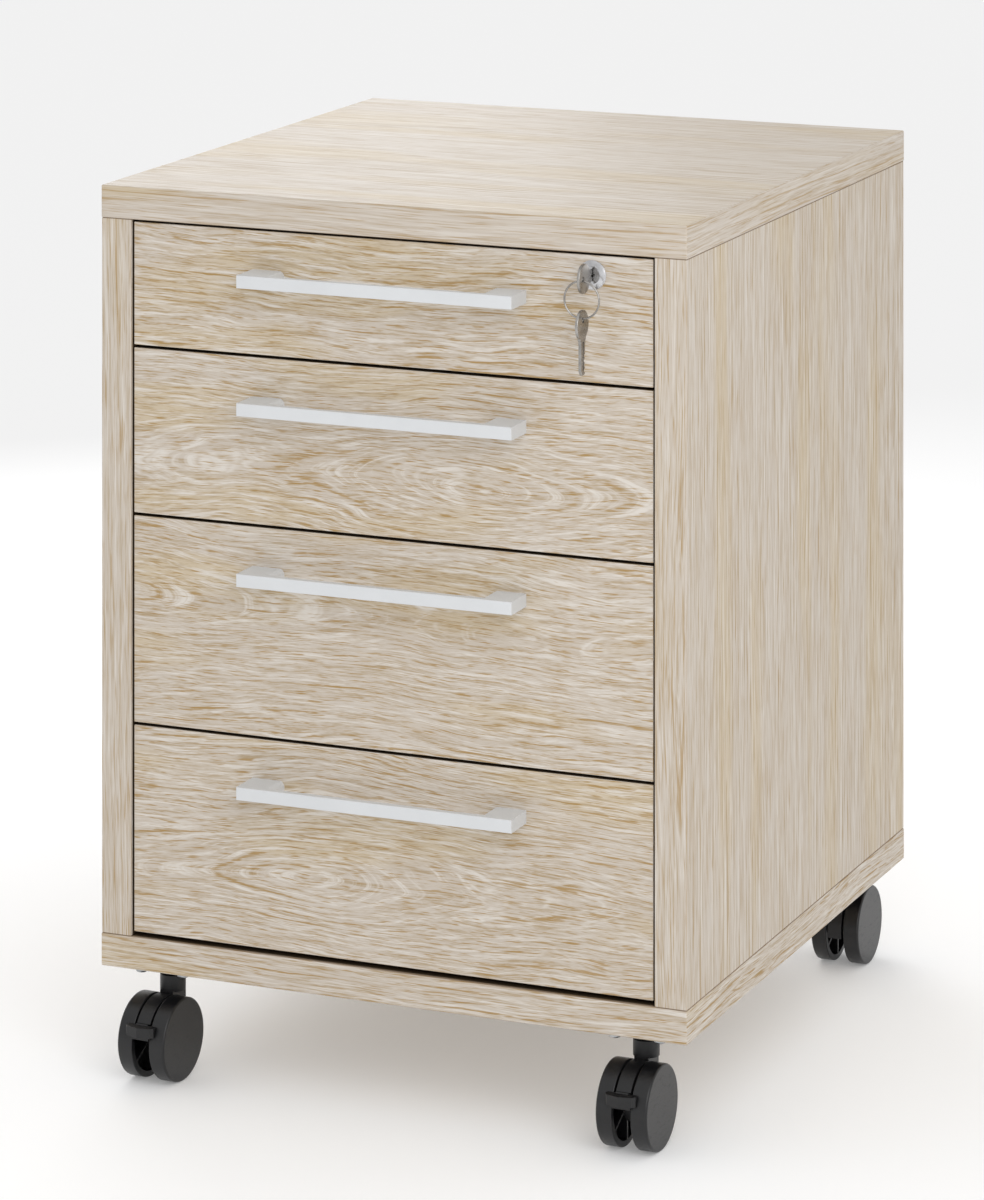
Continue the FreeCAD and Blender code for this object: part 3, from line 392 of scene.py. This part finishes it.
def nylon():
    """Rollers and bar guides: milky white nylon."""
    g = Graph("roller_nylon", Roughness=0.4)
    cloud = g.speckle(150.0, detail=3.0)
    g.drive("Base Color", g.mix(g.ramp(cloud, 0.3, 0.7), srgb(224, 223, 217), srgb(206, 204, 196)))
    g.drive("Roughness", g.ramp(cloud, 0.3, 0.7, 0.35, 0.5))
    return g.material


# Grain axis of the faces that look along X, Y and Z.
ALONG_TOP = ("Y", "X", "X")
ALONG_SIDE = ("Z", "Z", "Y")
ALONG_FRONT = ("Z", "X", "X")
ALONG_BACK = ("Z", "Z", "X")


def front_boards():
    """One board print per drawer front, from the top, each from another part of the sheet."""
    return [
        oak("oak_front_1", ALONG_FRONT, (-0.30, 0.42), 0.10, 1.0, tone=0.6),
        oak("oak_front_2", ALONG_FRONT, (0.07, 0.415), 0.24, 2.0, reach=0.12),
        oak("oak_front_3", ALONG_FRONT, (-0.20, 0.33), 0.26, 3.0, reach=0.09),
        oak("oak_front_4", ALONG_FRONT, (-0.05, 0.150), 0.24, 4.0),
    ]


def slot_materials():
    """The material for each slot of the record, apart from the drawer fronts."""
    return {
        "oak_top": oak(
            "oak_top", ALONG_TOP, (0.1, 0.45), 0.06, 5.0, wander=0.02, straight=0.7, tone=0.6, bold=0.65
        ),
        "oak_bottom": oak("oak_bottom", ALONG_TOP, (-0.2, 0.45), 0.08, 6.0, wander=0.02, straight=0.3),
        "oak_sides": oak(
            "oak_sides", ALONG_SIDE, (0.33, 0.205), 0.06, 7.0, wander=0.02, straight=0.7, bold=0.8
        ),
        "oak_back": oak("oak_back", ALONG_BACK, (0.3, 0.75), 0.05, 8.0, wander=0.015, straight=0.9),
        "drawer_board": drawer_board(),
        "zinc": scratched_metal("zinc", srgb(196, 198, 200), srgb(160, 163, 166), 0.34),
        "runner_steel": scratched_metal("runner_steel", srgb(206, 208, 208), srgb(186, 188, 190), 0.40),
        "roller_nylon": nylon(),
        "handle_silver": satin_silver(),
        "lock_nickel": scratched_metal("lock_nickel", srgb(206, 206, 208), srgb(176, 176, 178), 0.2),
        "key_steel": scratched_metal("key_steel", srgb(172, 169, 165), srgb(140, 137, 133), 0.26),
        "caster_black": black_plastic("caster_black", srgb(14, 14, 16), srgb(30, 30, 33), 0.42),
        "wheel_black": black_plastic("wheel_black", srgb(15, 15, 17), srgb(30, 31, 34), 0.36),
        "plate_black": scratched_metal("plate_black", srgb(46, 46, 48), srgb(34, 34, 36), 0.45),
        "beech": beech(),
    }


def dress_nodes():
    """Every CAD node gets its slot's material; each drawer front gets its own board."""
    materials = slot_materials()
    boards = front_boards()
    for name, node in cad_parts.items():
        for slot in node.material_slots:
            key = slot.material.name.split(".")[0]
            if key == "oak_fronts":
                slot.material = boards[int(name.split("_")[1]) - 1]
            else:
                slot.material = materials[key]


# ---------------------------------------------------------------------------------------------
# Stage, light and camera
# ---------------------------------------------------------------------------------------------

FLOOR_REACH = 40.0
FLOOR_WHITE = (0.82, 0.82, 0.82, 1.0)
FLOOR_GLOW = 0.18
WHITE = (1.0, 1.0, 1.0, 1.0)


def add_floor():
    """A plain pale floor out to far beyond the cabinet, with a faint glow that keeps it pale."""
    mesh = bpy.data.meshes.new("studio_floor")
    reach = FLOOR_REACH
    corners = [(-reach, -reach, 0), (reach, -reach, 0), (reach, reach, 0), (-reach, reach, 0)]
    mesh.from_pydata(corners, [], [(0, 1, 2, 3)])
    floor = bpy.data.objects.new("studio_floor", mesh)
    bpy.context.scene.collection.objects.link(floor)
    g = Graph("studio_floor", Roughness=0.9)
    g.shader.inputs["Base Color"].default_value = FLOOR_WHITE
    g.shader.inputs["Emission Color"].default_value = WHITE
    g.shader.inputs["Emission Strength"].default_value = FLOOR_GLOW
    g.shader.inputs["Specular IOR Level"].default_value = 0.0
    mesh.materials.append(g.material)


SKY_ZENITH = 0.88
SKY_HORIZON = 0.8


def add_sky():
    """A white studio: soft light from all round, a little stronger from above."""
    world = bpy.data.worlds.new("studio")
    bpy.context.scene.world = world
    world.use_nodes = True
    nodes = world.node_tree.nodes
    links = world.node_tree.links
    nodes.clear()
    place = nodes.new("ShaderNodeTexCoord")
    split = nodes.new("ShaderNodeSeparateXYZ")
    ramp = nodes.new("ShaderNodeMapRange")
    background = nodes.new("ShaderNodeBackground")
    output = nodes.new("ShaderNodeOutputWorld")
    ramp.inputs["From Min"].default_value = 0.0
    ramp.inputs["From Max"].default_value = 1.0
    ramp.inputs["To Min"].default_value = SKY_HORIZON
    ramp.inputs["To Max"].default_value = SKY_ZENITH
    background.inputs["Color"].default_value = WHITE
    links.new(place.outputs["Generated"], split.inputs[0])
    links.new(split.outputs["Z"], ramp.inputs["Value"])
    links.new(ramp.outputs["Result"], background.inputs["Strength"])
    links.new(background.outputs[0], output.inputs["Surface"])


SOFT_BOX_SIZE = 1.1
SOFT_BOX_POWER = 8.0
SOFT_BOX_PLACE = Vector((0.95, -1.2, 1.05))
SOFT_BOX_AIM = Vector((0.0, 0.0, 0.4))


def add_soft_boxes():
    """Two soft boxes, high up off the front right and the back left corner."""
    for name, turn in (("soft_box_front", 0.0), ("soft_box_back", math.pi)):
        light = bpy.data.lights.new(name, "AREA")
        light.shape = "SQUARE"
        light.size = SOFT_BOX_SIZE
        light.energy = SOFT_BOX_POWER
        box = bpy.data.objects.new(name, light)
        box.location = Matrix.Rotation(turn, 3, "Z") @ SOFT_BOX_PLACE
        box.rotation_euler = (SOFT_BOX_AIM - box.location).to_track_quat("-Z", "Y").to_euler()
        box.visible_camera = False
        bpy.context.scene.collection.objects.link(box)


CAMERA_YAW = math.radians(22.925)
CAMERA_FALL = 0.24315
CAMERA_EYE = Vector((1.3460, -3.22035, 1.1396))
SENSOR_WIDTH = 36.0
FOCAL_LENGTH = 155.2


def add_camera():
    """The view from the front right and above, with upright edges kept parallel.

    The camera aims down at the cabinet while its picture plane stays upright. Its parent's
    inverse matrix holds that plane: right, straight up, and the sloping line of sight, which
    falls by CAMERA_FALL for each metre forwards.
    """
    right = Vector((math.cos(CAMERA_YAW), math.sin(CAMERA_YAW), 0.0))
    upright = Vector((0.0, 0.0, 1.0))
    sight = Vector((-math.sin(CAMERA_YAW), math.cos(CAMERA_YAW), -CAMERA_FALL)).normalized()
    data = bpy.data.cameras.new("camera")
    data.sensor_width = SENSOR_WIDTH
    data.lens = FOCAL_LENGTH
    camera = bpy.data.objects.new("camera", data)
    stand = bpy.data.objects.new("camera_stand", None)
    for thing in (camera, stand):
        bpy.context.scene.collection.objects.link(thing)
    camera.parent = stand
    plane = Matrix((right, upright, -sight)).transposed().to_4x4()
    camera.matrix_parent_inverse = Matrix.Translation(CAMERA_EYE) @ plane
    bpy.context.scene.camera = camera


dress_nodes()
add_floor()
add_sky()
add_soft_boxes()
add_camera()
bpy.context.scene.view_settings.view_transform = "Standard"
